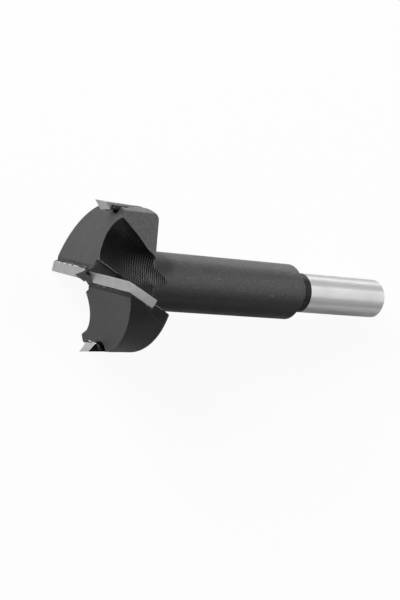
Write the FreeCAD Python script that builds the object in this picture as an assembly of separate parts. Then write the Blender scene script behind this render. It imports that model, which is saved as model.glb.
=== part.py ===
import FreeCAD, Part
import math
import os

# Carbide-tipped bit for boring concealed-hinge cups: a turned steel body with two chip
# gullets, two brazed cutters, two brazed spurs and a ground centre point.
#
# The bit is modelled in the tool's own frame, in mm: X runs along the axis from the plane
# of the spur tips to the end of the shank, and Y and Z span the bore's cross-section.
# Everything on the head is made once, for the cutter on the +Z side, and again by half a
# turn about X. At the end the whole bit is laid down the way it comes to rest on a table.

# Overall sizes
CUTTING_DIA = 35.0
SHANK_DIA = 10.0
BODY_DIA = 14.0
POINT_LEAD = 3.24          # centre point ahead of the spur tips
SHANK_END = 88.3           # end of the shank behind the spur tips
BODY_END = 58.8            # rear shoulder of the body
SHANK_CHAMFER = 0.5
SHOULDER_CHAMFER = 0.5

# Turned head
HEAD_CLEARANCE = 0.15      # front of the rim inside the bore
HEAD_TAPER = 0.35          # further loss of radius at the rear of the rim
HEAD_RIM_REAR = 13.75
HEAD_RIM_ROUND = 1.5
HEAD_REAR_AT_BODY = 13.2   # the rear face is dished a little toward the body
HEAD_FILLET = 1.2

# Main cutters: where the edge lies and how the plate is ground
EDGE_SETBACK = 0.02        # edge at the axis, behind the spur tips
EDGE_AHEAD = 1.04          # edge line ahead of the centre line
EDGE_TURN_DEG = 8.3        # edge line turned against the Z axis
EDGE_DISH_DEG = 1.4        # the edge falls back toward its outer corner
RAKE_DEG = 25.0
CLEARANCE_DEG = 8.0
CUTTER_THICKNESS = 2.0
CUTTER_DEPTH = 9.0         # plate size down the rake face
CUTTER_CORNER_ROUND = 0.5
CUTTER_PROUD = 0.95        # rake face above the gullet floor
BACK_TAPER = 0.035         # loss of radius per mm behind the edge

# Front face of each wing, ground in two planes behind the cutter
LEDGE_START = 1.18         # ledge behind the cutter, at the centre line
LEDGE_WIDTH = 3.6          # from the edge line to the end of the ledge
FACE_START = 0.15          # wing face, extended to the edge line
FACE_RELIEF_DEG = 14.2

# Gullet: a flat-sided opening, a round hollow with a run-out groove, and a slot for
# grinding the rake face
FLAT_OFFSET = 7.8          # trailing flat of the wing, off the axis
HOLLOW_Y = 6.79            # hollow's axis where it crosses the spur plane
HOLLOW_Z = 9.49
HOLLOW_DROP_DEG = 34.5     # slope of that axis toward the cutter's rear
HOLLOW_RISE_DEG = 23.6     # and away from the tool axis
HOLLOW_RADIUS = 7.71
RUNOUT_X = 15.0            # a point on the bottom of the groove, on the round body
RUNOUT_Y = -0.07
RUNOUT_Z = 6.63
RUNOUT_DROP_DEG = 31.4
RUNOUT_RISE_DEG = 11.6
RUNOUT_RADIUS = 4.0
SLOT_HEIGHT = 3.29
SLOT_WALL_FOOT = -0.64
SLOT_WALL_HEAD = 0.60
SLOT_ROUND = 0.7
SLOT_FRONT = -0.5
SLOT_DEPTH = 10.2
SLOT_DRIFT_DEG = 26.0      # the slot runs outward with depth and leaves the centre solid
SLOT_FALL_DEG = 8.7        # its roof falls toward the gullet floor

# Centre point: a four-sided pyramid with a skewed base
POINT_BASE = 1.18
POINT_CORNERS = ((69.0, 0.526), (-34.0, 0.60))   # angle, radius gained per mm
POINT_GAP = 0.12

# Spurs: square carbide sticks let into the rim
SPUR_CLEARANCE = 0.05      # tip of the spur inside the bore
SPUR_FACE = 1.85           # leading face off the axis
SPUR_WIDTH = 2.2
SPUR_HEIGHT = 2.25         # from the inner side out to the tip's radius
SPUR_LENGTH = 9.0
SPUR_BEVEL = 1.55          # fall of the front from the tip to the inner edge
SPUR_RELIEF = 1.55         # fall of the front from the leading to the trailing face
SPUR_SIDE_RELIEF = 0.57
LAND_RELIEF = 0.65         # rim inside the bore from the spur to the trailing flat
NOTCH_RADIUS = 1.85        # round notches let the braze run along the spur
NOTCH_DEPTH = 5.5
LEAD_NOTCH_AHEAD = 1.85    # centre ahead of the spur's leading face
LEAD_NOTCH_RISE = 1.4      # and out from its inner side
REAR_NOTCH_BEHIND = 0.15   # centre behind the spur's trailing face
REAR_NOTCH_RISE = 1.3

# Brazing
BRAZE = 0.12
BEAD = 0.35
BEAD_START = 3.4           # first point of the bead along the edge

# Sizes for tools that only have to reach past the steel
FAR = 60.0

TURN = math.radians(EDGE_TURN_DEG)
DISH = math.radians(EDGE_DISH_DEG)
RAKE = math.radians(RAKE_DEG)
CUTTING_RADIUS = CUTTING_DIA / 2
HEAD_FRONT_RADIUS = CUTTING_RADIUS - HEAD_CLEARANCE
HEAD_REAR_RADIUS = HEAD_FRONT_RADIUS - HEAD_TAPER
LAND_RADIUS = CUTTING_RADIUS - LAND_RELIEF
SPUR_RADIUS = CUTTING_RADIUS - SPUR_CLEARANCE
SPUR_INNER = SPUR_RADIUS - SPUR_HEIGHT
X_AXIS = FreeCAD.Vector(1, 0, 0)
ORIGIN = FreeCAD.Vector(0, 0, 0)

# Directions of the cutting edge: outward along it, behind it, and back toward the shank
ALONG = FreeCAD.Vector(math.tan(DISH), -math.sin(TURN), math.cos(TURN)).normalize()
BEHIND = FreeCAD.Vector(0, -math.cos(TURN), -math.sin(TURN))
BACK = ALONG.cross(BEHIND)


def half_turn(shape):
    """The same shape on the other wing."""
    copy = shape.copy()
    copy.rotate(ORIGIN, X_AXIS, 180)
    return copy


def rounded_wire(corners):
    """Closed wire through (point, radius) corners; a radius rounds its corner."""
    edges = []
    starts = []
    ends = []
    for number, (corner, radius) in enumerate(corners):
        before = (corners[number - 1][0] - corner).normalize()
        after = (corners[(number + 1) % len(corners)][0] - corner).normalize()
        half_angle = before.getAngle(after) / 2
        reach = radius / math.tan(half_angle)
        starts.append(corner + before * reach)
        ends.append(corner + after * reach)
        if radius:
            bisector = (before + after).normalize()
            middle = corner + bisector * (radius / math.sin(half_angle) - radius)
            edges.append(Part.Arc(starts[-1], middle, ends[-1]).toShape())
    for number in range(len(corners)):
        following = (number + 1) % len(corners)
        edges.append(Part.makeLine(ends[number], starts[following]))
    return Part.Wire(Part.__sortEdges__(edges))


def extruded(corners, direction):
    return Part.Face(rounded_wire(corners)).extrude(direction)


def box(x, y, z):
    """Box between pairs of limits on each axis."""
    size = [limits[1] - limits[0] for limits in (x, y, z)]
    return Part.makeBox(*size, FreeCAD.Vector(x[0], y[0], z[0]))


def half_space(point, normal):
    """Large block on the side of a plane that its normal points to."""
    block = box((-FAR, FAR), (-FAR, FAR), (0, FAR))
    turned = FreeCAD.Rotation(FreeCAD.Vector(0, 0, 1), normal)
    block.Placement = FreeCAD.Placement(point, turned)
    return block


def edge_point(along, behind, back):
    """Point given along the cutting edge, behind its line and back from it."""
    return X_AXIS * EDGE_SETBACK + ALONG * along + BEHIND * (behind - EDGE_AHEAD) + BACK * back


def off_rake(height, depth):
    """Behind and back of the edge, for a height above the rake face and a depth down it."""
    behind = depth * math.sin(RAKE) - height * math.cos(RAKE)
    back = depth * math.cos(RAKE) + height * math.sin(RAKE)
    return behind, back


def rake_point(along, height, depth):
    """Point given along the edge, above the rake face and down that face."""
    return edge_point(along, *off_rake(height, depth))


def beside_edge(profile, start, end):
    """Extrusion along the cutting edge of (behind, back, radius) corners."""
    corners = [(edge_point(start, behind, back), radius) for behind, back, radius in profile]
    return extruded(corners, ALONG * (end - start))


def rake_profile(heights, depths, round_corner=0):
    """Corners of a plate's section between heights and depths on the rake face."""
    return (
        (*off_rake(heights[0], depths[0]), 0),
        (*off_rake(heights[0], depths[1]), round_corner),
        (*off_rake(heights[1], depths[1]), 0),
        (*off_rake(heights[1], depths[0]), 0),
    )


def envelope(radius):
    """Space inside the bore, tapering back from the spur plane."""
    front = -POINT_LEAD
    rear = HEAD_RIM_REAR
    radii = [radius - BACK_TAPER * x for x in (front, rear)]
    return Part.makeCone(radii[0], radii[1], rear - front, X_AXIS * front, X_AXIS)


def turned_blank():
    """Head, body, neck and shank as they leave the lathe."""
    outline = (
        (0, 0, 0),
        (0, HEAD_FRONT_RADIUS, 0),
        (HEAD_RIM_REAR, HEAD_REAR_RADIUS, HEAD_RIM_ROUND),
        (HEAD_REAR_AT_BODY, BODY_DIA / 2, HEAD_FILLET),
        (BODY_END - SHOULDER_CHAMFER, BODY_DIA / 2, 0),
        (BODY_END, BODY_DIA / 2 - SHOULDER_CHAMFER, 0),
        (BODY_END, SHANK_DIA / 2, 0),
        (SHANK_END - SHANK_CHAMFER, SHANK_DIA / 2, 0),
        (SHANK_END, SHANK_DIA / 2 - SHANK_CHAMFER, 0),
        (SHANK_END, 0, 0),
    )
    corners = [(FreeCAD.Vector(x, radius, 0), rounding) for x, radius, rounding in outline]
    return Part.Face(rounded_wire(corners)).revolve(ORIGIN, X_AXIS, 360)


def face_back(behind):
    """How far back the ground wing face lies, at a distance behind the edge line."""
    return FACE_START + behind * math.tan(math.radians(FACE_RELIEF_DEG))


def wing_front():
    """What is ground off the front of the wing: a ledge by the cutter, then the face."""
    profile = (
        (EDGE_AHEAD, -FAR, 0),
        (EDGE_AHEAD, LEDGE_START, 0),
        (LEDGE_WIDTH, face_back(LEDGE_WIDTH), 0),
        (FAR, face_back(FAR), 0),
        (FAR, -FAR, 0),
    )
    return beside_edge(profile, -FAR / 2, FAR / 2)


def centre_point():
    """Pyramid from the apex to its skewed base."""
    height = POINT_BASE + POINT_LEAD
    apex = X_AXIS * -POINT_LEAD
    base = []
    for turn in (0, 180):
        for angle_deg, gain in POINT_CORNERS:
            angle = math.radians(angle_deg + turn)
            radius = gain * height
            corner = FreeCAD.Vector(POINT_BASE, radius * math.sin(angle), radius * math.cos(angle))
            base.append(corner)
    faces = [Part.Face(Part.makePolygon(base + [base[0]]))]
    for number in range(len(base)):
        side = [apex, base[number], base[number - 1], apex]
        faces.append(Part.Face(Part.makePolygon(side)))
    return Part.Solid(Part.Shell(faces))


def above_floor():
    """Space above the gullet floor, which lies a little below the rake face."""
    corner = rake_point(0, -CUTTER_PROUD, 0)
    return half_space(corner, rake_point(0, 1, 0) - rake_point(0, 0, 0))


def gullet_opening():
    """Everything outside the trailing flat and above the gullet floor."""
    outside_flat = box((-FAR, FAR / 2), (-FAR, FAR), (FLAT_OFFSET, FAR))
    return above_floor().common(outside_flat)


def milled_bore(centre, drop_deg, rise_deg, radius):
    """Round cut whose axis drops toward the cutter's rear and rises off the tool axis."""
    drop = math.tan(math.radians(drop_deg))
    rise = math.tan(math.radians(rise_deg))
    direction = FreeCAD.Vector(1, -drop, rise).normalize()
    return Part.makeCylinder(radius, FAR, centre - direction * FAR / 2, direction)


def gullet_hollow():
    """Round hollow above the gullet floor, and the groove where it runs out on the body."""
    centre = FreeCAD.Vector(0, HOLLOW_Y, HOLLOW_Z)
    hollow = milled_bore(centre, HOLLOW_DROP_DEG, HOLLOW_RISE_DEG, HOLLOW_RADIUS)
    groove_centre = FreeCAD.Vector(RUNOUT_X, RUNOUT_Y, RUNOUT_Z + RUNOUT_RADIUS)
    groove = milled_bore(groove_centre, RUNOUT_DROP_DEG, RUNOUT_RISE_DEG, RUNOUT_RADIUS)
    return hollow.fuse(groove).common(above_floor())


def gullet_slot():
    """Slot above the rake face that thins the web beside the centre point."""
    outline = (
        (SLOT_WALL_FOOT, -CUTTER_PROUD, 0),
        (SLOT_WALL_HEAD, SLOT_HEIGHT, SLOT_ROUND),
        (CUTTING_DIA, SLOT_HEIGHT, 0),
        (CUTTING_DIA, -CUTTER_PROUD, 0),
    )
    corners = [(rake_point(along, height, SLOT_FRONT), rounding) for along, height, rounding in outline]
    length = SLOT_DEPTH - SLOT_FRONT
    drift = length * math.tan(math.radians(SLOT_DRIFT_DEG))
    fall = length * math.tan(math.radians(SLOT_FALL_DEG))
    slot = extruded(corners, rake_point(drift, -fall, length) - rake_point(0, 0, 0))
    return slot.common(above_floor())


def flank_cutter():
    """Space on the axis side of the cutter's inner end, along the centre point's flank."""
    apex = X_AXIS * -POINT_LEAD
    rays = []
    for angle_deg, gain in POINT_CORNERS:
        angle = math.radians(angle_deg)
        rays.append(FreeCAD.Vector(1, gain * math.sin(angle), gain * math.cos(angle)))
    inward = rays[1].cross(rays[0]).normalize()
    if inward.z > 0:
        inward = inward * -1
    return half_space(apex - inward * POINT_GAP, inward)


def cutter_tip():
    """Carbide plate with its edge, clearance face and rounded heel."""
    section = rake_profile((-CUTTER_THICKNESS, 0), (0, CUTTER_DEPTH), CUTTER_CORNER_ROUND)
    plate = beside_edge(section, 0, CUTTING_DIA)
    fall = math.radians(CLEARANCE_DEG)
    outward = BEHIND * math.sin(fall) - BACK * math.cos(fall)
    plate = plate.cut(half_space(edge_point(0, 0, 0), outward))
    return plate.common(envelope(CUTTING_RADIUS)).cut(flank_cutter())


def cutter_pocket():
    """Seat for the cutter plate with room for the braze behind and below it."""
    section = rake_profile((-CUTTER_THICKNESS - BRAZE, 0), (0, CUTTER_DEPTH + BRAZE))
    return beside_edge(section, 0, CUTTING_DIA).cut(flank_cutter())


def cutter_bead():
    """Run of braze along the corner between the plate's back and the ledge."""
    corner_back = (LEDGE_START + face_back(LEDGE_WIDTH)) / 2
    corner_behind = CUTTER_THICKNESS / math.cos(RAKE) + corner_back * math.tan(RAKE)
    profile = (
        (corner_behind - BEAD, corner_back - BEAD, 0),
        (corner_behind + BEAD, corner_back + BEAD, 0),
        (corner_behind - BEAD, corner_back + BEAD, 0),
    )
    return beside_edge(profile, BEAD_START, CUTTING_DIA)


def spur_tip():
    """Carbide stick with a bevelled, relieved front."""
    tip_y = math.sqrt(SPUR_RADIUS ** 2 - SPUR_FACE ** 2)
    trailing = SPUR_FACE + SPUR_WIDTH
    outline = ((SPUR_FACE, SPUR_INNER), (trailing, SPUR_INNER),
               (trailing, tip_y - SPUR_SIDE_RELIEF), (SPUR_FACE, tip_y))
    corners = [(FreeCAD.Vector(0, y, z), 0) for z, y in outline]
    stick = extruded(corners, X_AXIS * SPUR_LENGTH)
    tip = FreeCAD.Vector(0, tip_y, SPUR_FACE)
    inner_edge = FreeCAD.Vector(SPUR_BEVEL, SPUR_INNER, SPUR_FACE) - tip
    trailing_edge = FreeCAD.Vector(SPUR_RELIEF, tip_y - SPUR_SIDE_RELIEF, trailing) - tip
    normal = inner_edge.cross(trailing_edge)
    if normal.x > 0:
        normal = normal * -1
    return stick.cut(half_space(tip, normal)).common(envelope(SPUR_RADIUS))


def spur_pocket():
    """Groove for the spur, with room for the braze inside and behind it."""
    return box((-FAR, SPUR_LENGTH + BRAZE), (SPUR_INNER - BRAZE, FAR), (SPUR_FACE, SPUR_FACE + SPUR_WIDTH))


def spur_land():
    """What is ground off the rim between the spur and the trailing flat."""
    sector = box((-FAR, FAR / 2), (0, FAR), (SPUR_FACE, FLAT_OFFSET + 1))
    inside = Part.makeCylinder(LAND_RADIUS, 2 * FAR, X_AXIS * -FAR, X_AXIS)
    return sector.cut(inside)


def spur_notches():
    """Ball-ended notches either side of the spur."""
    trailing = SPUR_FACE + SPUR_WIDTH
    notches = []
    for rise, z in ((LEAD_NOTCH_RISE, SPUR_FACE - LEAD_NOTCH_AHEAD),
                    (REAR_NOTCH_RISE, trailing + REAR_NOTCH_BEHIND)):
        centre = FreeCAD.Vector(NOTCH_DEPTH, SPUR_INNER + rise, z)
        bore = Part.makeCylinder(NOTCH_RADIUS, FAR, centre - X_AXIS * FAR, X_AXIS)
        notches.append(bore.fuse(Part.makeSphere(NOTCH_RADIUS, centre)))
    return notches


def cut_both_wings(shape, tools):
    """Cut each tool on one wing and then on the other."""
    for tool in tools:
        shape = shape.cut(tool).cut(half_turn(tool))
    return shape


def steel_before_seats():
    """Turned, ground and milled steel, still without the seats for the carbide."""
    ground = cut_both_wings(turned_blank(), [wing_front()]).fuse(centre_point())
    return cut_both_wings(ground, [gullet_opening(), gullet_slot(), gullet_hollow(), spur_land()])


def build_pieces():
    """Steel body, cutters, spurs and their braze, still in the tool's own frame."""
    steel = steel_before_seats()
    cutter = cutter_tip()
    spur = spur_tip()
    notches = spur_notches()
    seats = [cutter_pocket(), spur_pocket()]
    body = cut_both_wings(steel, seats + notches).removeSplitter().Solids[0]
    cutter_braze = cutter_pocket().common(steel).fuse(cutter_bead().common(envelope(HEAD_REAR_RADIUS)))
    cutter_braze = cutter_braze.cut(cutter).cut(body)
    spur_braze = spur_pocket().common(steel).cut(spur)
    for notch in notches:
        spur_braze = spur_braze.cut(notch)
    pieces = {"body": body}
    for name, shape in (("cutter_tip", cutter), ("spur_tip", spur),
                        ("cutter_braze", cutter_braze), ("spur_braze", spur_braze)):
        pieces[name + "_1"] = shape.Solids[0]
        pieces[name + "_2"] = half_turn(shape.Solids[0])
    return pieces


def resting_contacts():
    """Points that touch the table: a cutter's outer corner and the other wing's heel."""
    corner = edge_point(math.sqrt(CUTTING_RADIUS ** 2 - EDGE_AHEAD ** 2), 0, 0)
    heel_radius = min(LAND_RADIUS, HEAD_REAR_RADIUS)
    above_round = heel_radius - (HEAD_REAR_RADIUS - HEAD_RIM_ROUND)
    past_round = math.sqrt(max(HEAD_RIM_ROUND ** 2 - above_round ** 2, 0))
    heel_x = HEAD_RIM_REAR - HEAD_RIM_ROUND + past_round
    heel_y = math.sqrt(heel_radius ** 2 - FLAT_OFFSET ** 2)
    return FreeCAD.Vector(corner.x, -corner.y, -corner.z), FreeCAD.Vector(heel_x, -heel_y, -FLAT_OFFSET)


def resting_placement():
    """Turn that lays the bit on the table, resting on two points of the head and its shank."""
    corner, heel = resting_contacts()
    across = corner - heel
    shank_x = SHANK_END - SHANK_CHAMFER
    shank = X_AXIS * shank_x
    for _ in range(12):
        up = across.cross(shank - heel).normalize()
        if up.dot(X_AXIS * shank_x / 2 - heel) < 0:
            up = up * -1
        radial = up - X_AXIS * up.x
        shank = X_AXIS * shank_x - radial.normalize() * (SHANK_DIA / 2)
    forward = (X_AXIS - up * up.x).normalize()
    sideways = up.cross(forward)
    return FreeCAD.Placement(ORIGIN, FreeCAD.Rotation(forward, sideways, up, "ZXY").inverted())


def lay_down(pieces):
    """Rest the bit on z = 0 with the origin below the middle of its bounding box."""
    turn = resting_placement()
    placed = {}
    for name, shape in pieces.items():
        copy = shape.copy()
        copy.Placement = turn.multiply(copy.Placement)
        placed[name] = copy
    bounds = Part.makeCompound(list(placed.values())).optimalBoundingBox(False, False)
    offset = FreeCAD.Vector(-bounds.Center.x, -bounds.Center.y, -bounds.ZMin)
    for shape in placed.values():
        shape.translate(offset)
    return placed


os.makedirs("parts", exist_ok=True)
for node, solid in lay_down(build_pieces()).items():
    solid.exportStep("parts/" + node + ".step")
    print(node, solid.ShapeType, len(solid.Solids), round(solid.Volume, 1), solid.isValid())
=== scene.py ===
# %% [markdown]
# # A hinge-cup bit, dressed in Blender
# The bit is a blackened steel body with bright ground carbide brazed into it. Its shape comes whole
# from the CAD model, so this lesson is about finishes: how light, small bumps and small changes of
# colour make steel look blackened, ground, milled or brazed. We load the model first.

# %% Load the model
import math

import bpy
from mathutils import Matrix, Vector


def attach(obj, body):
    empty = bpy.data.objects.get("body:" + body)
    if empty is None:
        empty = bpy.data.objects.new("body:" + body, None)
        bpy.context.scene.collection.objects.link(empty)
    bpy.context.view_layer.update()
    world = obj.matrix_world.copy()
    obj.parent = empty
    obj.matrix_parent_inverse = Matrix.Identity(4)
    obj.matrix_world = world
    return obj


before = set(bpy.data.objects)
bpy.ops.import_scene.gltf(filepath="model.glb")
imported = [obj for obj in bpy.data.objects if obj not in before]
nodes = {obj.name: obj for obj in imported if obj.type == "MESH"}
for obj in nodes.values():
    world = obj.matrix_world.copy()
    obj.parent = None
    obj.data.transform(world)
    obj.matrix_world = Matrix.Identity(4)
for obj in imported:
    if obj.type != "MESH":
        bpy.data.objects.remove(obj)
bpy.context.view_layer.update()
print("nodes:", sorted(nodes))

# %% [markdown]
# ## The bit's own directions
# The bit lies on its rim and on the end of its shank, so its axis slopes. Patterns such as turning
# lines follow that axis, not the world's. We could bend each pattern by hand, but it is simpler to
# write the bit's own frame once: where the axis passes the spur tips, and which way "along", "up"
# and "near" point. Every finish then reads its place in millimetres in that frame.

# %% The bit's frame
AXIS_START = Vector((-0.04250995, 0.0, 0.01495274))
ALONG = Vector((0.993512, 0.0, -0.113726))
UP = Vector((0.050010, 0.898126, 0.436886))
NEAR = Vector((0.102141, -0.439739, 0.892299))
BIT_TURN = Matrix((ALONG, UP, NEAR)).transposed().to_euler()
MILLIMETRE = 0.001
SHANK_START_MM = 62.76
HEAD_REAR_MM = 13.75


def place_on_bit(along, up, near):
    """World place of a point given in millimetres in the bit's frame."""
    return AXIS_START + MILLIMETRE * (along * ALONG + up * UP + near * NEAR)


print("shank starts at", [round(c, 4) for c in place_on_bit(SHANK_START_MM, 0, 0)])

# %% [markdown]
# ## The camera
# The photograph looks down on the bit from behind its head, with the camera rolled so that the bit
# lies almost level in the picture. A camera is a place and three directions. We give the directions
# straight as a matrix, which avoids guessing three angles.

# %% Camera
CAMERA_PLACE = Vector((-0.16912, -0.12707, 0.25729))
CAMERA_RIGHT = Vector((0.86831, -0.21306, 0.44793))
CAMERA_UP = Vector((-0.00843, 0.89658, 0.44281))
CAMERA_FORWARD = Vector((0.49595, 0.38828, -0.77671))

camera_data = bpy.data.cameras.new("camera")
camera_data.lens = 79.19
camera_data.sensor_width = 36
camera_data.clip_start = 0.01
camera_data.clip_end = 50
camera = bpy.data.objects.new("camera", camera_data)
bpy.context.collection.objects.link(camera)
camera_turn = Matrix((CAMERA_RIGHT, CAMERA_UP, -CAMERA_FORWARD)).transposed()
camera.matrix_world = Matrix.Translation(CAMERA_PLACE) @ camera_turn.to_4x4()
bpy.context.scene.camera = camera
print("camera looks down by", round(math.degrees(math.asin(-CAMERA_FORWARD.z)), 1), "degrees")

# %% [markdown]
# ## Small helpers for node trees
# A node tree is quicker to read when a value can be a number or a wire. `feed` sets a socket either
# way, and the short functions under it add one node each and give back its output.

# %% Node helpers


def feed(tree, socket, value):
    """Set a socket to a plain value, or wire an output into it."""
    if isinstance(value, bpy.types.NodeSocket):
        tree.links.new(value, socket)
    elif value is not None:
        socket.default_value = value


def calc(tree, operation, *values, clamp=False):
    """One Math node, whose result stays between 0 and 1 when clamped."""
    node = tree.nodes.new("ShaderNodeMath")
    node.operation = operation
    node.use_clamp = clamp
    for socket, value in zip(node.inputs, values):
        feed(tree, socket, value)
    return node.outputs[0]


def vector_calc(tree, operation, *values, output=0):
    """One Vector Math node."""
    node = tree.nodes.new("ShaderNodeVectorMath")
    node.operation = operation
    for socket, value in zip(node.inputs, values):
        feed(tree, socket, value)
    return node.outputs[output]


def soft_step(tree, value, low, high, start=0.0, end=1.0):
    """Go smoothly from start to end while the value goes from low to high."""
    node = tree.nodes.new("ShaderNodeMapRange")
    node.interpolation_type = "SMOOTHSTEP"
    for socket, given in zip(node.inputs, (value, low, high, start, end)):
        feed(tree, socket, given)
    return node.outputs["Result"]


def blend(tree, share, first, second):
    """Mix two colours."""
    node = tree.nodes.new("ShaderNodeMix")
    node.data_type = "RGBA"
    feed(tree, node.inputs["Factor"], share)
    feed(tree, node.inputs["A"], first)
    feed(tree, node.inputs["B"], second)
    return node.outputs["Result"]


def blend_value(tree, share, first, second):
    """Mix two numbers."""
    node = tree.nodes.new("ShaderNodeMix")
    feed(tree, node.inputs["Factor"], share)
    feed(tree, node.inputs["A"], first)
    feed(tree, node.inputs["B"], second)
    return node.outputs["Result"]


def times(tree, first, second, clamp=False):
    """The product of two numbers. For two masks it is where both are on."""
    return calc(tree, "MULTIPLY", first, second, clamp=clamp)


def keep_off(tree, value, mask):
    """The value where the mask is 0, and nothing where the mask is 1."""
    return times(tree, value, calc(tree, "SUBTRACT", 1.0, mask))


def noise(tree, place, scale, detail=2.0, roughness=0.5):
    """Cloudy noise that reads a place."""
    node = tree.nodes.new("ShaderNodeTexNoise")
    feed(tree, node.inputs["Vector"], place)
    feed(tree, node.inputs["Scale"], scale)
    feed(tree, node.inputs["Detail"], detail)
    feed(tree, node.inputs["Roughness"], roughness)
    return node.outputs["Fac"]


def noise_along(tree, distance, scale, detail=2.0):
    """Noise that changes in one direction only, which makes lines."""
    node = tree.nodes.new("ShaderNodeTexNoise")
    node.noise_dimensions = "1D"
    feed(tree, node.inputs["W"], distance)
    feed(tree, node.inputs["Scale"], scale)
    feed(tree, node.inputs["Detail"], detail)
    return node.outputs["Fac"]


def grey(level, warmth=0.0):
    """A near-neutral colour, a little warmer where asked."""
    return (level * (1 + warmth), level, level * (1 - warmth), 1.0)


print("helpers ready, for example grey:", grey(0.5))

# %% [markdown]
# ## A group that knows where it is on the bit
# All the finishes start from the same question: how far along the axis is this point, and how far
# from it? A Mapping node of the Texture kind undoes a move and a turn, so it takes a point from the
# world's frame into the bit's own, and its scale turns metres into millimetres. As a group it is
# built once, and each material drops it in.

# %% Group: place on the bit


def new_group(name, inputs, outputs):
    """Start a node group with named sockets."""
    group = bpy.data.node_groups.new(name, "ShaderNodeTree")
    for direction, sockets in (("INPUT", inputs), ("OUTPUT", outputs)):
        for label, kind, value in sockets:
            socket = group.interface.new_socket(
                label, in_out=direction, socket_type="NodeSocket" + kind)
            if value is not None:
                socket.default_value = value
    taken = group.nodes.new("NodeGroupInput").outputs
    given = group.nodes.new("NodeGroupOutput").inputs
    return group, taken, given


place_group, taken, given = new_group(
    "place on the bit",
    [("Position", "Vector", None)],
    [("Place", "Vector", None), ("Along", "Float", None), ("Up", "Float", None),
     ("Near", "Float", None), ("Radius", "Float", None)],
)
into_bit = place_group.nodes.new("ShaderNodeMapping")
into_bit.vector_type = "TEXTURE"
into_bit.inputs["Location"].default_value = AXIS_START
into_bit.inputs["Rotation"].default_value = BIT_TURN
into_bit.inputs["Scale"].default_value = (MILLIMETRE, MILLIMETRE, MILLIMETRE)
feed(place_group, into_bit.inputs["Vector"], taken["Position"])
parts_of_place = place_group.nodes.new("ShaderNodeSeparateXYZ")
feed(place_group, parts_of_place.inputs[0], into_bit.outputs[0])
along_out, up_out, near_out = parts_of_place.outputs
across = calc(place_group, "ADD", times(place_group, up_out, up_out),
              times(place_group, near_out, near_out))
feed(place_group, given["Place"], into_bit.outputs[0])
feed(place_group, given["Along"], along_out)
feed(place_group, given["Up"], up_out)
feed(place_group, given["Near"], near_out)
feed(place_group, given["Radius"], calc(place_group, "SQRT", across))
print("group:", place_group.name, "with", len(place_group.nodes), "nodes")

# %% [markdown]
# ## Edge wear and edge highlights
# Black oxide is a skin a few thousandths of a millimetre thick. It rubs off first where two faces
# meet, and bright steel shows in thin broken lines. A Bevel node gives the normal that a tiny round
# would have, so where it differs from the real normal there is an edge. Noise then breaks the line
# up, because real wear is never even. The same broken line also serves for the painted highlights
# along the carbide's edges. The group also hands out the whole edge, for the few named places where
# a painted highlight runs along it, and the rounded normal, with which an edge catches the light.

# %% Group: wear and highlight on edges
EDGE_SAMENESS = (0.995, 0.90)
BROKEN_CLOUDS = (0.42, 0.62)

wear_and_highlight_group, taken, given = new_group(
    "wear and highlight on edges",
    [("Place", "Vector", None), ("Width", "Float", 0.00008), ("Breaks", "Float", 1.4),
     ("Amount", "Float", 0.5)],
    [("Mask", "Float", None), ("Edge", "Float", None), ("Rounded", "Vector", None)],
)
rounded = wear_and_highlight_group.nodes.new("ShaderNodeBevel")
rounded.samples = 6
feed(wear_and_highlight_group, rounded.inputs["Radius"], taken["Width"])
true_normal = wear_and_highlight_group.nodes.new("ShaderNodeNewGeometry").outputs["Normal"]
sameness = vector_calc(wear_and_highlight_group, "DOT_PRODUCT", rounded.outputs[0], true_normal, output="Value")
at_edge = soft_step(wear_and_highlight_group, sameness, *EDGE_SAMENESS)
clouds = noise(wear_and_highlight_group, taken["Place"], taken["Breaks"], 3.0)
broken = soft_step(wear_and_highlight_group, clouds, *BROKEN_CLOUDS)
patchy = times(wear_and_highlight_group, at_edge, broken)
feed(wear_and_highlight_group, given["Mask"], times(wear_and_highlight_group, patchy, taken["Amount"], clamp=True))
feed(wear_and_highlight_group, given["Edge"], at_edge)
feed(wear_and_highlight_group, given["Rounded"], rounded.outputs[0])
print("group:", wear_and_highlight_group.name, "gives", [socket.name for socket in given if socket.name])

# %% [markdown]
# ## Turning lines
# A lathe leaves a very fine thread-like groove round the work. It can't be seen as a groove at this
# size, but it spreads a highlight and gives it faint stripes. Noise that changes only along the
# axis makes such lines, fine and coarse together. The coarse noise reads a place further along, so
# that the two never line up.

# %% Group: turning lines
COARSE_PER_FINE = 0.22
COARSE_SHARE = 0.5
COARSE_FURTHER_MM = 37.0

turning_group, taken, given = new_group(
    "turning lines",
    [("Along", "Float", 0.0), ("Lines per mm", "Float", 5.0)],
    [("Height", "Float", None)],
)
fine_lines = noise_along(turning_group, taken["Along"], taken["Lines per mm"], 3.0)
moved_along = calc(turning_group, "ADD", taken["Along"], COARSE_FURTHER_MM)
coarse_per_mm = times(turning_group, taken["Lines per mm"], COARSE_PER_FINE)
coarse_lines = noise_along(turning_group, moved_along, coarse_per_mm, 1.0)
all_lines = calc(turning_group, "MULTIPLY_ADD", coarse_lines, COARSE_SHARE, fine_lines)
feed(turning_group, given["Height"], all_lines)
print("group:", turning_group.name)

# %% [markdown]
# ## Grinding lines
# A grinding wheel crosses a flat in straight passes. The marks are long in one direction and very
# narrow in the other. We stretch the place before the noise reads it: a large number squeezes the
# pattern across the lines, a small one draws it out along them.

# %% Group: grinding lines
DRAWN_OUT = 0.08

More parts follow.
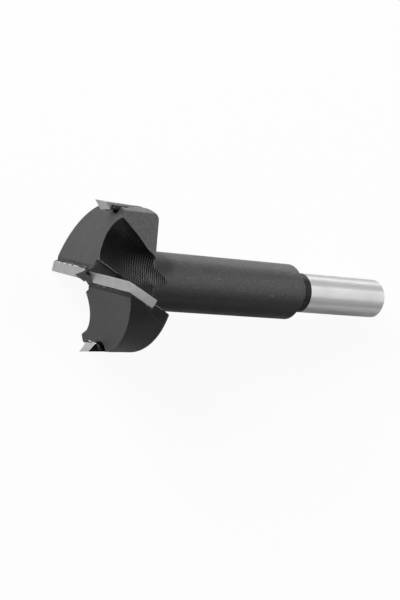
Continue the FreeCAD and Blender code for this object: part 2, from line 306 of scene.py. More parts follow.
grinding_group, taken, given = new_group(
    "grinding lines",
    [("Place", "Vector", None), ("Across", "Vector", (0.0, 1.0, 0.0)),
     ("Lines per mm", "Float", 6.0)],
    [("Height", "Float", None)],
)
crossing = vector_calc(grinding_group, "DOT_PRODUCT", taken["Place"], taken["Across"],
                       output="Value")
drawn_out = vector_calc(grinding_group, "SCALE", taken["Place"])
drawn_out.node.inputs["Scale"].default_value = DRAWN_OUT
squeezed = grinding_group.nodes.new("ShaderNodeCombineXYZ")
feed(grinding_group, squeezed.inputs[0], times(grinding_group, crossing, taken["Lines per mm"]))
line_place = vector_calc(grinding_group, "ADD", drawn_out, squeezed.outputs[0])
feed(grinding_group, given["Height"], noise(grinding_group, line_place, 1.0, 3.0, 0.6))
print("group:", grinding_group.name)

# %% [markdown]
# ## Scratches and smudges
# Handling leaves sparse fine scratches and small bright specks, and oil leaves soft patches that
# change how a surface shines. All are noise: the scratches are thin slices through a warped
# pattern, the smudges are broad clouds, and the specks are the peaks of a fine grain.

# %% Group: handling marks
SMUDGE_CLOUDS = (0.3, 0.7)
SCRATCH_TURN = (0.5, 0.9, 0.4)
SCRATCH_STRETCH = (0.12, 1.7, 1.7)
SCRATCH_SLICE = (0.012, 0.002)
SCRATCHED_CLOUDS = (0.54, 0.6)
GRAIN_PER_MM = 5.5
SPECK_PEAKS = (0.68, 0.76)

marks_group, taken, given = new_group(
    "handling marks",
    [("Place", "Vector", None), ("Patch size", "Float", 6.0), ("Scratches", "Float", 0.5)],
    [("Smudge", "Float", None), ("Scratch", "Float", None), ("Speck", "Float", None)],
)
patch_scale = calc(marks_group, "DIVIDE", 1.0, taken["Patch size"])
clouds = noise(marks_group, taken["Place"], patch_scale, 4.0)
feed(marks_group, given["Smudge"], soft_step(marks_group, clouds, *SMUDGE_CLOUDS))
slant = marks_group.nodes.new("ShaderNodeMapping")
slant.inputs["Rotation"].default_value = SCRATCH_TURN
slant.inputs["Scale"].default_value = SCRATCH_STRETCH
feed(marks_group, slant.inputs["Vector"], taken["Place"])
warped = calc(marks_group, "SUBTRACT", noise(marks_group, slant.outputs[0], 0.9, 1.0), 0.5)
thin = soft_step(marks_group, calc(marks_group, "ABSOLUTE", warped), *SCRATCH_SLICE)
where = soft_step(marks_group, noise(marks_group, taken["Place"], 0.55, 1.0), *SCRATCHED_CLOUDS)
scratch = times(marks_group, times(marks_group, thin, where), taken["Scratches"])
feed(marks_group, given["Scratch"], scratch)
grain = noise(marks_group, taken["Place"], GRAIN_PER_MM, 2.0, 0.7)
feed(marks_group, given["Speck"], soft_step(marks_group, grain, *SPECK_PEAKS))
print("group:", marks_group.name, "gives", [socket.name for socket in given if socket.name])

# %% [markdown]
# ## Milling marks in the gullets
# Each gullet is cut with a round-ended tool that steps along by half a millimetre, so its passes
# leave a comb of small dashes, offset like bricks. The marks belong only on the two round surfaces
# of a gullet, the main hollow and the groove where the chips run out. Both are straight cylinders,
# so we measure how far a point is from each axis and keep the marks where the distance fits. The
# second gullet is the first one after half a turn, so it needs only a change of sign.

# %% Group: milling marks


def sloping(drop_degrees, rise_degrees):
    """The way along the bit that drops toward its far side and rises toward its near side."""
    drop = math.tan(math.radians(drop_degrees))
    rise = math.tan(math.radians(rise_degrees))
    return Vector((1.0, -drop, rise)).normalized()


HOLLOW_CENTRE = Vector((0.0, 6.79, 9.49))
HOLLOW_DIRECTION = sloping(34.5, 23.6)
HOLLOW_RADIUS = 7.71
RUNOUT_CENTRE = Vector((15.0, -0.07, 10.63))
RUNOUT_DIRECTION = sloping(31.4, 11.6)
RUNOUT_RADIUS = 4.0
MILLED_FROM = 1.3
MILLED_TO = 19.0
MILLED_BORDER_MM = 0.2
WALL_MISS_MM = (0.10, 0.05)
ROW_WANDER = 0.5
RIDGE_TOP = (0.25, 0.75)
DASH_TOP = (0.10, 0.32)
DASH_MM = 0.85
DASH_LEAN = -0.3

milling_group, taken, given = new_group(
    "milling marks",
    [("Place", "Vector", None), ("Side", "Float", 1.0), ("Step mm", "Float", 0.5)],
    [("Mask", "Float", None), ("Height", "Float", None), ("Depth", "Float", None)],
)


def miss_of_bore(tree, place, centre, direction, radius):
    """How far a place is from the wall of a round bore, in millimetres."""
    from_centre = vector_calc(tree, "SUBTRACT", place, centre)
    down_axis = vector_calc(tree, "DOT_PRODUCT", from_centre, direction, output="Value")
    on_axis = vector_calc(tree, "SCALE", direction)
    feed(tree, on_axis.node.inputs["Scale"], down_axis)
    off_axis = vector_calc(tree, "SUBTRACT", from_centre, on_axis)
    distance = vector_calc(tree, "LENGTH", off_axis, output="Value")
    return calc(tree, "ABSOLUTE", calc(tree, "SUBTRACT", distance, radius))


side_signs = milling_group.nodes.new("ShaderNodeCombineXYZ")
side_signs.inputs[0].default_value = 1.0
feed(milling_group, side_signs.inputs[1], taken["Side"])
feed(milling_group, side_signs.inputs[2], taken["Side"])
own_place = vector_calc(milling_group, "MULTIPLY", taken["Place"], side_signs.outputs[0])
hollow_miss = miss_of_bore(milling_group, own_place, HOLLOW_CENTRE, HOLLOW_DIRECTION, HOLLOW_RADIUS)
runout_miss = miss_of_bore(milling_group, own_place, RUNOUT_CENTRE, RUNOUT_DIRECTION, RUNOUT_RADIUS)
nearest = calc(milling_group, "MINIMUM", hollow_miss, runout_miss)
own_parts = milling_group.nodes.new("ShaderNodeSeparateXYZ")
feed(milling_group, own_parts.inputs[0], own_place)
own_along, own_up, own_near = own_parts.outputs
on_wall = soft_step(milling_group, nearest, *WALL_MISS_MM)
above_floor = soft_step(milling_group, own_near, MILLED_FROM, MILLED_FROM + MILLED_BORDER_MM)
before_end = soft_step(milling_group, own_along, MILLED_TO, MILLED_TO - MILLED_BORDER_MM)
milled_wall = times(milling_group, times(milling_group, on_wall, above_floor), before_end)
feed(milling_group, given["Mask"], milled_wall)

# Rows of passes along the bit, each row a scallop with a ridge at its borders.
wander = noise(milling_group, own_place, 0.8, 1.0)
rows = calc(milling_group, "DIVIDE", own_along, taken["Step mm"])
rows = calc(milling_group, "MULTIPLY_ADD", wander, ROW_WANDER, rows)
row_number = calc(milling_group, "FLOOR", rows)
in_row = calc(milling_group, "SUBTRACT", calc(milling_group, "FRACT", rows), 0.5)
scallop = times(milling_group, times(milling_group, in_row, in_row), 4.0)
ridge_top = soft_step(milling_group, scallop, *RIDGE_TOP)

# Dashes along each row, moved by half a dash in every second row.
shift = times(milling_group, calc(milling_group, "MODULO", row_number, 2.0), 0.5)
leaning = calc(milling_group, "MULTIPLY_ADD", own_along, DASH_LEAN, own_up)
dashes = calc(milling_group, "ADD", calc(milling_group, "DIVIDE", leaning, DASH_MM), shift)
off_middle = calc(milling_group, "SUBTRACT", calc(milling_group, "FRACT", dashes), 0.5)
in_dash = calc(milling_group, "ABSOLUTE", off_middle)
dash_top = soft_step(milling_group, in_dash, *DASH_TOP)
feed(milling_group, given["Height"], times(milling_group, ridge_top, dash_top))
feed(milling_group, given["Depth"], own_up)
print("group:", milling_group.name, "hollow direction", [round(c, 3) for c in HOLLOW_DIRECTION])

# %% [markdown]
# ## Starting a material
# Every material starts the same way: an empty tree, one Principled shader, and the group that finds
# the place. A group is dropped in with its inputs set by name, and bumps follow one another, each
# bending the normal that it is given. We write these steps once. Painted edge highlights, painted
# shade and dark grooves sit in spots, so the last tool is a mask of round places, each a centre and
# a reach in the bit's millimetres.

# %% Material helpers


def new_material(name):
    """A material with an empty tree, its Principled shader and the group that finds a place."""
    material = bpy.data.materials.new(name)
    material.use_nodes = True
    tree = material.node_tree
    tree.nodes.clear()
    shader = tree.nodes.new("ShaderNodeBsdfPrincipled")
    result = tree.nodes.new("ShaderNodeOutputMaterial")
    tree.links.new(shader.outputs[0], result.inputs["Surface"])
    position = tree.nodes.new("ShaderNodeTexCoord").outputs["Object"]
    where_am_i = use_group(tree, place_group, Position=position)
    return material, tree, shader, where_am_i


def use_group(tree, group, **values):
    """Place a group in a tree. In a keyword, an underscore stands for a space."""
    node = tree.nodes.new("ShaderNodeGroup")
    node.node_tree = group
    for name, value in values.items():
        feed(tree, node.inputs[name.replace("_", " ")], value)
    return node.outputs


def bump(tree, height, distance, strength=1.0, normal=None):
    """A Bump node: distance is the height in metres that a value of 1 stands for."""
    node = tree.nodes.new("ShaderNodeBump")
    node.inputs["Distance"].default_value = distance
    node.inputs["Strength"].default_value = strength
    feed(tree, node.inputs["Height"], height)
    feed(tree, node.inputs["Normal"], normal)
    return node.outputs[0]


def near_places(tree, place, places):
    """1 near the named places, 0 away from them."""
    total = 0.0
    for centre, reach in places.values():
        distance = vector_calc(tree, "DISTANCE", place, centre, output="Value")
        total = calc(tree, "MAXIMUM", total, soft_step(tree, distance, reach, 0.5 * reach))
    return total


print("material helpers ready")

# %% [markdown]
# ## The body: where each finish is
# The body is one piece of steel with several finishes. Most of it is blackened. The shank was
# ground after blackening, so it is bright bare steel up to a clean line, as the wheel leaves it.
# The wings' fronts and trailing flats were ground before blackening, so they are smoother and even
# in tone. We could split the mesh, but a mask for each finish needs no cut: the distance along the
# axis finds the shank, and the way a face looks finds the ground faces, because each of them is
# flat.

# %% Body: masks
SHANK_LINE_MM = (SHANK_START_MM - 0.03, SHANK_START_MM + 0.05)
BEHIND_HEAD_MM = (HEAD_REAR_MM + 0.4, HEAD_REAR_MM + 0.9)
FRONT_FACE = (0.90, 0.94)
LEDGE_FACE = (0.988, 0.997)
FLAT_FACE = (0.985, 0.995)

body_finish, tree, shader, here = new_material("blackened steel, ground shank")
on_shank = soft_step(tree, here["Along"], *SHANK_LINE_MM)
behind_head = soft_step(tree, here["Along"], *BEHIND_HEAD_MM)
faces = tree.nodes.new("ShaderNodeNewGeometry").outputs["Normal"]
forward_face = vector_calc(tree, "DOT_PRODUCT", faces, -ALONG, output="Value")
on_ledge = soft_step(tree, forward_face, *LEDGE_FACE)
on_front = keep_off(tree, soft_step(tree, forward_face, *FRONT_FACE), on_ledge)
near_face = calc(tree, "ABSOLUTE", vector_calc(tree, "DOT_PRODUCT", faces, NEAR, output="Value"))
on_flat = keep_off(tree, soft_step(tree, near_face, *FLAT_FACE), behind_head)
print("masks for:", body_finish.name)

# %% [markdown]
# ## The body: the milled gullets
# The milling marks come from their group, once for each gullet. They show best near the hollow's
# lower end, where light reaches its floor, and fade out where the hollow is deep and black. So a
# share weakens them by place, and it weakens both the bump and the lighter colour of the ridge
# tops. That lighter colour is a painted highlight on the real marks.

# %% Body: gullets
FADE_BY_DEPTH = (6.5, 2.5)
FADE_PAST_FLOOR = (-2.2, 0.2)
FADE_ALONG = (4.5, 12.5)
WEAKEST_MARKS = 0.05

mill_near = use_group(tree, milling_group, Place=here["Place"], Side=1.0)
mill_far = use_group(tree, milling_group, Place=here["Place"], Side=-1.0)
milled = calc(tree, "ADD", times(tree, mill_near["Mask"], mill_near["Height"]),
              times(tree, mill_far["Mask"], mill_far["Height"]))
in_gullet = calc(tree, "MAXIMUM", mill_near["Mask"], mill_far["Mask"])
depth = blend_value(tree, mill_near["Mask"], mill_far["Depth"], mill_near["Depth"])
on_floor = times(tree, soft_step(tree, depth, *FADE_BY_DEPTH),
                 soft_step(tree, depth, *FADE_PAST_FLOOR))
lower_end = times(tree, on_floor, soft_step(tree, here["Along"], *FADE_ALONG))
milled = times(tree, milled, blend_value(tree, lower_end, WEAKEST_MARKS, 1.0))
ridge_highlights = times(tree, milled, in_gullet)
floor_of_gullet = times(tree, in_gullet, soft_step(tree, depth, FADE_BY_DEPTH[0], 0.0))
print("gullets milled between", MILLED_FROM, "and", MILLED_TO, "mm")

# %% [markdown]
# ## The body: the blackened skin
# Black oxide isn't one grey. Hands and the box rub the side that lies up, which gets scuffs, specks
# and faint rings. The underside and the corner beside the upper wing, where the wing's shadow falls
# on the body, are painted darker as painted shade. The ground fronts have straight faint streaks
# and the ground flats have fine scuffs. The gullets are painted very dark as painted shade in the
# hollows. Near the hollow's lower end their floor is painted back toward the plain black as painted
# light, where light reaches it, and the milling ridge tops are painted lighter as a painted
# highlight. We lay these colours over one another, each with its mask, so a later one wins where
# two meet.

# %% Body: skin colours
BLACK = grey(0.066)
BLACK_WORN = grey(0.19)
SHADED_SIDE_BLACK = grey(0.034)
GROUND_BLACK = grey(0.042)
FLAT_DARK = grey(0.155)
FLAT_LIGHT = grey(0.40)
DARK_STREAK_AND_GULLET_SHADE = grey(0.018)
LEDGE_BLACK = grey(0.026)
RIDGE_HIGHLIGHT = grey(0.46)
WING_SHADE_PLACES = {
    "corner beside the upper wing": ((15.9, 4.3, 5.5), 5.0),
}
WING_SHADE_SHARE = 0.55
UPPER_SIDE_MM = (-5.5, -0.5)
SCUFF_CLOUDS = (0.50, 0.68)
SCUFF_SHARE = 0.60
RING_SHARE = 0.12
SMUDGE_SHARE = 0.12
SPECK_SHARE = 0.7
STREAK_SHARE = 0.5
FLAT_SCUFF_CLOUDS = (0.45, 0.70)
FLAT_SCUFF_SHARE = 0.5
LIT_FLOOR_SHARE = 0.6

marks = use_group(tree, marks_group, Place=here["Place"], Patch_size=5.0, Scratches=0.15)
# Painted shade: the corner beside the upper wing, where the wing's shadow falls on the body, gets
# the underside's darker colour and weaker shine.
wing_shade = near_places(tree, here["Place"], WING_SHADE_PLACES)
wing_shade = times(tree, wing_shade, WING_SHADE_SHARE)
facing_up = soft_step(tree, here["Up"], *UPPER_SIDE_MM)
handled_and_lit_side = calc(tree, "SUBTRACT", facing_up, wing_shade, clamp=True)

rings = times(tree, noise_along(tree, here["Along"], 6.0, 4.0), behind_head)
scuffs = soft_step(tree, noise(tree, here["Place"], 2.4, 6.0, 0.8), *SCUFF_CLOUDS)
handled = calc(tree, "MULTIPLY_ADD", scuffs, SCUFF_SHARE, times(tree, rings, RING_SHARE))
handled = calc(tree, "MULTIPLY_ADD", marks["Smudge"], SMUDGE_SHARE, handled)
handled = calc(tree, "MULTIPLY_ADD", marks["Speck"], SPECK_SHARE, handled, clamp=True)
black = blend(tree, handled, BLACK, BLACK_WORN)
# Painted shade: the underside and the corner beside the upper wing take the darker colour.
black = blend(tree, handled_and_lit_side, SHADED_SIDE_BLACK, black)

streaks = times(tree, noise_along(tree, here["Near"], 2.2, 3.0), STREAK_SHARE)
black = blend(tree, on_front, black, blend(tree, streaks, GROUND_BLACK, DARK_STREAK_AND_GULLET_SHADE))
black = blend(tree, on_ledge, black, LEDGE_BLACK)
flat_scuffs = soft_step(tree, noise(tree, here["Place"], 1.7, 6.0, 0.85), *FLAT_SCUFF_CLOUDS)
flat_scuffs = times(tree, flat_scuffs, FLAT_SCUFF_SHARE)
flat_scuffs = calc(tree, "MULTIPLY_ADD", marks["Speck"], SPECK_SHARE, flat_scuffs, clamp=True)
black = blend(tree, on_flat, black, blend(tree, flat_scuffs, FLAT_DARK, FLAT_LIGHT))

# Painted shade: the gullets are painted very dark.
black = blend(tree, in_gullet, black, DARK_STREAK_AND_GULLET_SHADE)
# Painted light: near the hollow's lower end the gullet floor is painted back toward the plain
# black, where light reaches it.
black = blend(tree, times(tree, floor_of_gullet, LIT_FLOOR_SHARE), black, BLACK)
# Painted highlight: the milling ridge tops are painted lighter.
black = blend(tree, ridge_highlights, black, RIDGE_HIGHLIGHT)
print("skin between", BLACK[0], "and", BLACK_WORN[0])

# %% [markdown]
# ## The body: soot and bare steel
# The grooves beside the spurs are drawn nearly black, and the neck nearly as dark. Bare steel shows
# in scratches and in thin broken lines along the edges. A few edges are painted far brighter in the
# pale colour of bare steel, as painted highlights where those edges catch the light. These edges
# are named places. Bare steel shows in scratches and along a few edges, the ones that chips or
# other tools
# rub. These edges are named places, because which edge is worn is a matter of use and not of shape.

# %% Body: dark grooves, wear and painted edge highlights
NEAR_BLACK = grey(0.008)
BARE_STEEL_AND_HIGHLIGHT = grey(0.75)
GROUND_STEEL = grey(0.56)
GROUND_STEEL_DULL = grey(0.5)
HIGHLIGHTED_EDGES = {
    "slot, outer end": ((2.4, 3.1, 2.9), 1.4),
    "slot, middle": ((3.9, 2.2, 3.7), 2.6),
    "mouth of the run-out": ((14.65, 3.6, 6.0), 1.4),
    "heel of the lower wing": ((9.0, -8.0, 17.5), 3.2),
}
DARK_SPUR_GROOVES = {
    "upper spur groove": ((4.3, 15.35, 4.2), 1.5),
    "lower spur groove": ((5.7, -15.6, -1.1), 2.3),
}
NECK_MM = (60.5, 60.9)
NECK_SHARE = 0.8
RIM_MM = (17.0, 16.6)
EDGE_HIGHLIGHT_GAIN = 2.0
SCRATCH_SHARE = 0.8
DULL_SHARE = 0.25

wear = use_group(tree, wear_and_highlight_group, Place=here["Place"], Width=0.00023, Breaks=1.1, Amount=0.15)
# Painted highlight: the named edges are painted in the pale colour of bare steel, on top of the
# real broken wear lines.
worn_and_highlighted_edge = times(tree, wear["Edge"], near_places(tree, here["Place"], HIGHLIGHTED_EDGES))
worn_and_highlighted_edge = calc(tree, "MAXIMUM", times(tree, worn_and_highlighted_edge, EDGE_HIGHLIGHT_GAIN, clamp=True), wear["Mask"])
scratched = times(tree, marks["Scratch"], times(tree, handled_and_lit_side, SCRATCH_SHARE))
rubbed_and_highlighted = calc(tree, "MAXIMUM", worn_and_highlighted_edge, scratched)

in_neck = times(tree, soft_step(tree, here["Along"], *NECK_MM), NECK_SHARE)
inside_rim = soft_step(tree, here["Radius"], *RIM_MM)
# The grooves beside the spurs and the neck are drawn nearly black.
darkened = times(tree, near_places(tree, here["Place"], DARK_SPUR_GROOVES), inside_rim)
darkened = calc(tree, "MAXIMUM", darkened, in_neck)
black = blend(tree, darkened, black, NEAR_BLACK)
black = blend(tree, rubbed_and_highlighted, black, BARE_STEEL_AND_HIGHLIGHT)
dull = times(tree, marks["Smudge"], DULL_SHARE)
bright = blend(tree, dull, GROUND_STEEL, GROUND_STEEL_DULL)
feed(tree, shader.inputs["Base Color"], blend(tree, on_shank, black, bright))
print("worn edges:", len(HIGHLIGHTED_EDGES), "sooty places:", len(DARK_SPUR_GROOVES))

# %% [markdown]
# ## The body: shine
# A handled skin on the side that lies up shines like dull metal. On the underside and in the corner
# beside the upper wing, a high metal share with the dark colour leaves a dark skin with little
# shine, which is painted shade. The shine of a metal takes its colour, so a dark colour with a high
# metal share gives a dark skin with a weak shine. That lets one map tune both, where a map for the
# specular level would be lost in an export. A ground front keeps the plain shine of the oxide,
# which is not a metal.

# %% Body: shine
SHADED_SIDE_METAL = 0.9
HANDLED_METAL = 0.6
GULLET_METAL = 0.6
OXIDE_IOR = 1.46
SKIN_ROUGHNESS = (0.36, 0.44)
SHANK_ROUGHNESS = (0.30, 0.35)

# Painted shade: the underside and the corner beside the upper wing get a high metal share with
# their dark colour, so they shine little.
metal = blend_value(tree, handled_and_lit_side, SHADED_SIDE_METAL, times(tree, behind_head, HANDLED_METAL))
metal = keep_off(tree, metal, on_front)
metal = blend_value(tree, in_gullet, metal, GULLET_METAL)
metal = keep_off(tree, metal, worn_and_highlighted_edge)
metal = calc(tree, "MAXIMUM", metal, calc(tree, "MAXIMUM", darkened, on_shank))
feed(tree, shader.inputs["Metallic"], metal)
black_rough = blend_value(tree, marks["Smudge"], *SKIN_ROUGHNESS)
shank_rough = blend_value(tree, marks["Smudge"], *SHANK_ROUGHNESS)
feed(tree, shader.inputs["Roughness"], blend_value(tree, on_shank, black_rough, shank_rough))
shader.inputs["IOR"].default_value = OXIDE_IOR
print("metal share:", HANDLED_METAL, "where handled,", SHADED_SIDE_METAL, "where not")

# %% [markdown]
# ## The body: fine surface
# Three bumps come last: the lathe's lines on everything round behind the head, the milling marks in
# the gullets, and a grain like that of etched steel on all that is black. The shank's lines are
# much weaker, since grinding took most of them away. Each bump has a real height in metres, so it
# stays true at any distance.

# %% Body: bumps
TURNING_HEIGHT = 0.000004
MILLING_HEIGHT = 0.00008
GRAIN_HEIGHT = 0.0000015
LINES_ON_BODY = 0.5
LINES_ON_SHANK = 0.12

turned = use_group(tree, turning_group, Along=here["Along"], Lines_per_mm=5.0)["Height"]
turned = times(tree, turned, blend_value(tree, on_shank, LINES_ON_BODY, LINES_ON_SHANK))
turned = keep_off(tree, times(tree, turned, behind_head), in_gullet)
surface = bump(tree, turned, TURNING_HEIGHT, normal=wear["Rounded"])
surface = bump(tree, milled, MILLING_HEIGHT, normal=surface)
grain = keep_off(tree, noise(tree, here["Place"], 14.0, 2.0), on_shank)
surface = bump(tree, grain, GRAIN_HEIGHT, normal=surface)
feed(tree, shader.inputs["Normal"], surface)
print("material:", body_finish.name, "with", len(tree.nodes), "nodes")

# %% [markdown]
# ## Ground carbide
# Tungsten carbide is ground with a diamond wheel. It is a hard pale grey metal, duller than steel,
# with very fine lines. At this size one slant across each plate is enough for all its faces. Its
# sides look darker than its ground faces, because braze and flux stained them, and along its edges
# a thin pale line is painted as a highlight. The spurs are of the same carbide, so one function
# gives both their base.

# %% Material: ground carbide
CARBIDE = grey(0.51)
CARBIDE_DULL = grey(0.46)
CARBIDE_PIT = grey(0.3)
PIT_SHARE = 0.4
CARBIDE_EDGE_HIGHLIGHT = grey(0.90)
SIDE_STAIN = grey(0.10)
SIDE_FACE = (0.80, 0.86)
LINE_SLANT = (0.35, 0.0, 0.94)
CARBIDE_LINE_HEIGHT = 0.0000006


def carbide_tone(tree, here):
    """The colour and the fine line height of ground carbide."""
    marks = use_group(tree, marks_group, Place=here["Place"], Patch_size=2.5, Scratches=0.4)
    ground_lines = use_group(tree, grinding_group, Place=here["Place"], Across=LINE_SLANT,
                             Lines_per_mm=9.0)
    tone = blend(tree, marks["Smudge"], CARBIDE, CARBIDE_DULL)
    tone = blend(tree, times(tree, marks["Speck"], PIT_SHARE), tone, CARBIDE_PIT)
    return tone, ground_lines["Height"]


carbide_finish, tree, shader, here = new_material("ground carbide")
tone, lines = carbide_tone(tree, here)
faces = tree.nodes.new("ShaderNodeNewGeometry").outputs["Normal"]
side_face = calc(tree, "ABSOLUTE", vector_calc(tree, "DOT_PRODUCT", faces, UP, output="Value"))
stained_side = soft_step(tree, side_face, *SIDE_FACE)
edge = use_group(tree, wear_and_highlight_group, Place=here["Place"], Width=0.00012, Breaks=0.5, Amount=0.8)
tone = blend(tree, stained_side, tone, SIDE_STAIN)
# Painted highlight: a thin broken pale line along the carbide's edges.
tone = blend(tree, edge["Mask"], tone, CARBIDE_EDGE_HIGHLIGHT)
feed(tree, shader.inputs["Base Color"], tone)
feed(tree, shader.inputs["Metallic"], blend_value(tree, edge["Mask"], 1.0, 0.3))
feed(tree, shader.inputs["Roughness"], blend_value(tree, lines, 0.37, 0.41))
feed(tree, shader.inputs["Normal"], bump(tree, lines, CARBIDE_LINE_HEIGHT, normal=edge["Rounded"]))
print("material:", carbide_finish.name)

# %% [markdown]
# ## The spurs' facets
# A spur is a stick of the same carbide, but only its sharpened end is freshly ground. The rest is
# drawn darker, and the two meet on a slanted line. On the lower spur the fresh end is matt and
# pale. On the upper one it is a small bevel, and the flank behind it is grey, with a black patch
# where it enters its groove. We draw those borders with the distance along the bit and the height
# above its axis. A hand-ground end is not quite flat, so its normal is leant a little, and it
# catches the light that a true flat would miss.

# %% Material: spurs
FRESH_GROUND = grey(0.80)
SPUR_GREY = grey(0.20)
SPUR_BLACK = grey(0.035)
FRESH_TILT = Vector((-0.9, 0.7, 0.2))
FRESH_BORDER = (18.95, 18.75)
FRESH_BORDER_SLOPE = 0.95
PATCH_ALONG = (2.75, 3.05)
PATCH_HEIGHT = (16.35, 16.15)
SPUR_LINE_HEIGHT = 0.0000012

spur_finish, tree, shader, here = new_material("spur carbide")
tone, lines = carbide_tone(tree, here)
height = calc(tree, "ABSOLUTE", here["Up"])
lower = soft_step(tree, here["Up"], 1.0, -1.0)
slanted = calc(tree, "MULTIPLY_ADD", height, FRESH_BORDER_SLOPE, here["Along"])
fresh = soft_step(tree, slanted, *FRESH_BORDER)
faces = tree.nodes.new("ShaderNodeNewGeometry").outputs["Normal"]
turned_near = vector_calc(tree, "DOT_PRODUCT", faces, NEAR, output="Value")
near_flank = soft_step(tree, turned_near, 0.90, 0.95)
patch = times(tree, soft_step(tree, here["Along"], *PATCH_ALONG),
              soft_step(tree, height, *PATCH_HEIGHT))
upper_tone = blend(tree, near_flank, tone, SPUR_GREY)
upper_tone = blend(tree, patch, upper_tone, SPUR_BLACK)
lower_tone = blend(tree, fresh, SPUR_BLACK, FRESH_GROUND)
feed(tree, shader.inputs["Base Color"], blend(tree, lower, upper_tone, lower_tone))
matt = times(tree, lower, fresh)
feed(tree, shader.inputs["Metallic"], blend_value(tree, matt, 0.9, 0.15))
feed(tree, shader.inputs["Roughness"], blend_value(tree, matt, 0.36, 0.5))
tilt = vector_calc(tree, "SCALE", FRESH_TILT)
feed(tree, tilt.node.inputs["Scale"], matt)
leant = vector_calc(tree, "NORMALIZE", vector_calc(tree, "ADD", faces, tilt))
feed(tree, shader.inputs["Normal"], bump(tree, lines, SPUR_LINE_HEIGHT, normal=leant))
print("material:", spur_finish.name)

# %% [markdown]
# ## Braze
# The plates are held by a silver braze that ran as a liquid and froze. Where it was left as it
# froze it is bright and lumpy, and where flux and black oxide lie over it, it is nearly as dark as
# the steel. One function makes both, with the share of stain as its only difference.

# %% Materials: braze
BRAZE = grey(0.86, 0.01)
FLUX = grey(0.09, 0.01)
BRAZE_LUMP_HEIGHT = 0.00008


def braze_material(name, stain_low, stain_high):
    """Frozen braze: bright where the noise is under stain_low, dark where it is over stain_high."""
    material, tree, shader, here = new_material(name)
    cloud = noise(tree, here["Place"], 1.3, 3.0)
    stained = soft_step(tree, cloud, stain_low, stain_high)
    feed(tree, shader.inputs["Base Color"], blend(tree, stained, BRAZE, FLUX))
    feed(tree, shader.inputs["Metallic"], blend_value(tree, stained, 0.6, 0.4))
    feed(tree, shader.inputs["Roughness"], blend_value(tree, stained, 0.30, 0.5))
    lumps = noise(tree, here["Place"], 2.2, 3.0)
    feed(tree, shader.inputs["Normal"], bump(tree, lumps, BRAZE_LUMP_HEIGHT, 0.8))
    print("material:", material.name)
    return material


bright_braze = braze_material("bright braze", 0.50, 0.62)
stained_braze = braze_material("stained braze", 0.30, 0.42)

# %% [markdown]
# ## Giving each node its finish
# The CAD nodes stay as they are, and only the material in their slots changes. Nodes of one kind
# share the start of their names, so that start says which finish a node takes.

# %% Assign the finishes
finish_of = {
    "body": body_finish,
    "cutter_tip": carbide_finish,
    "spur_tip": spur_finish,
    "cutter_braze": stained_braze,
    "spur_braze": stained_braze,
}
for name, node in nodes.items():
    finish = next(material for start, material in finish_of.items() if name.startswith(start))
    for slot in node.material_slots:
        slot.material = finish
    print(name, "->", finish.name)

# %% [markdown]
# ## Beads of braze
# Where the braze was squeezed out, it froze as a thin wavy bead along the joint, and at the spurs
# as small curls. Each is a smooth path with a round section whose thickness swells and shrinks. We
# draw the path with a few points in the bit's frame, let the curve give it its round section, and
# turn it into a mesh. A sine makes the swelling, so no bead looks like drawn wire.

# %% Beads
BEADS = {
    "cutter_bead": (0.11, [
        (0.62, 3.62, -15.6), (0.62, 3.45, -14.22), (0.66, 3.25, -12.6), (0.62, 3.0, -10.8),
        (0.66, 2.82, -9.2), (0.64, 2.58, -7.6), (0.68, 2.4, -6.4), (0.66, 2.2, -5.2)]),
    "upper_spur_curl": (0.11, [
        (3.50, 16.40, 4.10), (3.78, 16.08, 4.22), (3.60, 15.72, 4.16), (3.95, 15.42, 3.80),
        (3.88, 15.22, 3.10), (4.15, 15.10, 2.50)]),
    "lower_spur_curl": (0.10, [
        (4.12, -14.70, -4.95), (4.05, -14.86, -4.10), (4.08, -15.02, -3.20), (4.02, -15.20, -2.40),
        (4.15, -15.32, -1.75), (4.70, -15.60, -1.42), (5.02, -16.05, -1.45),
        (5.15, -16.55, -1.66)]),
}
SWELL = 0.35
SWELL_STEP = 2.4


def make_bead(name, thickness_mm, points):
    """A lumpy bead of braze on a smooth path through the points."""
    bpy.ops.object.select_all(action="DESELECT")
    bpy.ops.curve.primitive_nurbs_path_add(location=(0, 0, 0))
    bead = bpy.context.object
    bead.name = name
    spline = bead.data.splines[0]
    spline.points.add(len(points) - len(spline.points))
    for number, (point, place) in enumerate(zip(spline.points, points)):
        point.co = (*place_on_bit(*place), 1.0)
        point.radius = 1.0 + SWELL * math.sin(SWELL_STEP * number)
    spline.order_u = 3
    spline.use_endpoint_u = True
    spline.resolution_u = 8
    bead.data.bevel_depth = thickness_mm * MILLIMETRE
    bead.data.bevel_resolution = 3
    bead.data.use_fill_caps = True
    bpy.ops.object.convert(target="MESH")
    bpy.ops.object.mode_set(mode="EDIT")
    bpy.ops.mesh.select_all(action="SELECT")
    bpy.ops.mesh.remove_doubles(threshold=0.0001 * MILLIMETRE)
    bpy.ops.mesh.normals_make_consistent(inside=False)
    bpy.ops.object.mode_set(mode="OBJECT")
    bpy.ops.object.shade_smooth()
    bead.data.materials.clear()
    bead.data.materials.append(bright_braze)
    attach(bead, "root")
    print(name, "faces:", len(bead.data.polygons))
    return bead


for name, (thickness_mm, points) in BEADS.items():
    make_bead(name, thickness_mm, points)

# %% [markdown]
# ## Floor
# The photograph has a white ground. White comes from the floor's own colour: for the camera it is
# mostly a plain white glow of strength 1, mixed with enough real paper that the shadow stays. For
# all other rays it is only paper, so the steel sees the floor as it is lit.

# %% Floor
FLOOR_SIZE = 12
PAPER_WHITE = grey(0.95)
GLOW_SHARE = 0.93

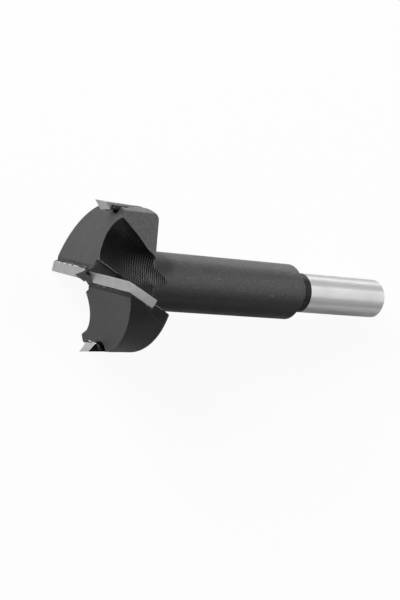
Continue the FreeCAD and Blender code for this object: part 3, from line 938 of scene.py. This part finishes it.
bpy.ops.object.select_all(action="DESELECT")
bpy.ops.mesh.primitive_plane_add(size=FLOOR_SIZE, location=(0, 0, 0))
floor = bpy.context.object
floor.name = "floor"
paper = bpy.data.materials.new("white paper")
paper.use_nodes = True
tree = paper.node_tree
tree.nodes.clear()
matte = tree.nodes.new("ShaderNodeBsdfDiffuse")
matte.inputs["Color"].default_value = PAPER_WHITE
glow = tree.nodes.new("ShaderNodeEmission")
glow.inputs["Strength"].default_value = 1.0
rays = tree.nodes.new("ShaderNodeLightPath")
both = tree.nodes.new("ShaderNodeMixShader")
feed(tree, both.inputs["Fac"], times(tree, rays.outputs["Is Camera Ray"], GLOW_SHARE))
tree.links.new(matte.outputs[0], both.inputs[1])
tree.links.new(glow.outputs[0], both.inputs[2])
tree.links.new(both.outputs[0], tree.nodes.new("ShaderNodeOutputMaterial").inputs["Surface"])
floor.data.materials.append(paper)
print("floor:", floor.name)

# %% [markdown]
# ## Light
# Polished and satin metal shows what is around it, so the light decides the look more than the
# colours do. The round body shows the camera only one band of directions, and the photograph has a
# bright streak there from low on the far side, a darker gap, a broad soft light from above, and a
# fade toward the near side. Four panels stand along that band to give it. Two more stand at the
# back, where they light the floor and the flat faces but never show in the round body. Each panel
# is given by where it stands and how bright it looks, and its power follows from its area.

# %% Soft boxes and sky


def soft_box(name, direction, distance, width, height, brightness):
    """A panel that faces the bit. Brightness 1 is what white paper shows in plain light."""
    data = bpy.data.lights.new(name, "AREA")
    data.shape = "RECTANGLE"
    data.size = width
    data.size_y = height
    data.energy = brightness * math.pi * width * height
    panel = bpy.data.objects.new(name, data)
    bpy.context.collection.objects.link(panel)
    away = Vector(direction).normalized()
    panel.location = away * distance
    panel.rotation_euler = away.to_track_quat("Z", "Y").to_euler()
    panel.visible_camera = False
    print(name, "at", [round(c, 2) for c in panel.location], "power", round(data.energy, 1), "W")
    return panel


# Name: direction, distance, width, height, brightness.
PANELS = {
    "far panel": ((0.62, 0.78, 0.13), 1.3, 1.3, 0.30, 2.2),
    "between panel": ((0.67, 0.45, 0.53), 1.35, 1.0, 0.8, 0.75),
    "top panel": ((0.68, -0.17, 0.68), 1.3, 1.1, 0.85, 1.35),
    "near panel": ((0.65, -0.68, 0.34), 1.35, 0.7, 0.7, 0.6),
    "back left panel": ((-0.66, 0.67, 0.37), 1.5, 1.2, 1.0, 8.0),
    "back panel": ((-0.10, 0.93, 0.38), 1.4, 1.3, 0.8, 1.8),
}
SKY_LIGHT = 0.08
SKY_SEEN = 1.0

for name, (direction, distance, width, height, brightness) in PANELS.items():
    soft_box(name, direction, distance, width, height, brightness)

world = bpy.data.worlds.new("studio")
bpy.context.scene.world = world
world.use_nodes = True
tree = world.node_tree
tree.nodes.clear()
sky = tree.nodes.new("ShaderNodeBackground")
rays = tree.nodes.new("ShaderNodeLightPath")
sky_strength = blend_value(tree, rays.outputs["Is Camera Ray"], SKY_LIGHT, SKY_SEEN)
feed(tree, sky.inputs["Strength"], sky_strength)
sky.inputs["Color"].default_value = (1, 1, 1, 1)
tree.links.new(sky.outputs[0], tree.nodes.new("ShaderNodeOutputWorld").inputs["Surface"])
bpy.context.scene.view_settings.view_transform = "Standard"
print("panels:", len(PANELS), "and a sky of", SKY_LIGHT)
